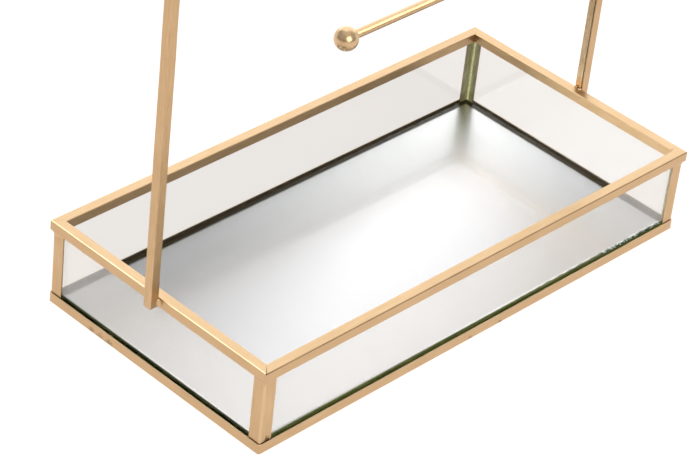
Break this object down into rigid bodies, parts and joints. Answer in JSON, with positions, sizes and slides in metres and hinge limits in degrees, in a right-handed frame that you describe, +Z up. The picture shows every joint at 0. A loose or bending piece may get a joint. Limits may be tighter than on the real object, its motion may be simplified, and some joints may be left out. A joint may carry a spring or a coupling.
{
  "type": "jewellery stand with glass tray",
  "caption": "Low rectangular glass-walled dresser tray with a mirrored floor, a soldered brass frame and a tall square-tube portal carrying a ball-ended arm for hanging jewellery.",
  "frame": {"origin": "on the surface the base stands on, below the middle of the tray", "axes": "+X along the tray towards the post that carries the arm, +Y across the tray, +Z up"},
  "size_m": [0.2586, 0.126, 0.3],
  "materials": {
    "brass": "satin champagne-gold plated strip",
    "solder": "gold-plated solder, slightly lumpy",
    "glass": "clear float glass with green cut edges",
    "mirror": "silvered glass with green cut edges",
    "felt": "short-pile felt on board"
  },
  "bodies": {
    "root": {"rim_rail_front": "brass", "rim_rail_right": "brass", "rim_rail_back": "brass", "rim_rail_left": "brass", "glass_front": "glass", "glass_right": "glass", "glass_back": "glass", "glass_left": "glass", "corner_angle_front_left": "brass", "corner_solder_front_left": "solder", "corner_angle_front_right": "brass", "corner_solder_front_right": "solder", "corner_angle_back_right": "brass", "corner_solder_back_right": "solder", "corner_angle_back_left": "brass", "corner_solder_back_left": "solder", "base_frame": "brass", "floor_backing": "felt", "floor_mirror": "mirror", "post_right": "brass", "post_left": "brass", "crossbar": "brass", "post_solder_right_front": "solder", "post_solder_right_back": "solder", "post_solder_left_front": "solder", "post_solder_left_back": "solder", "arm_rod": "brass", "arm_ball": "brass", "arm_solder": "solder"}
  },
  "joints": []
}
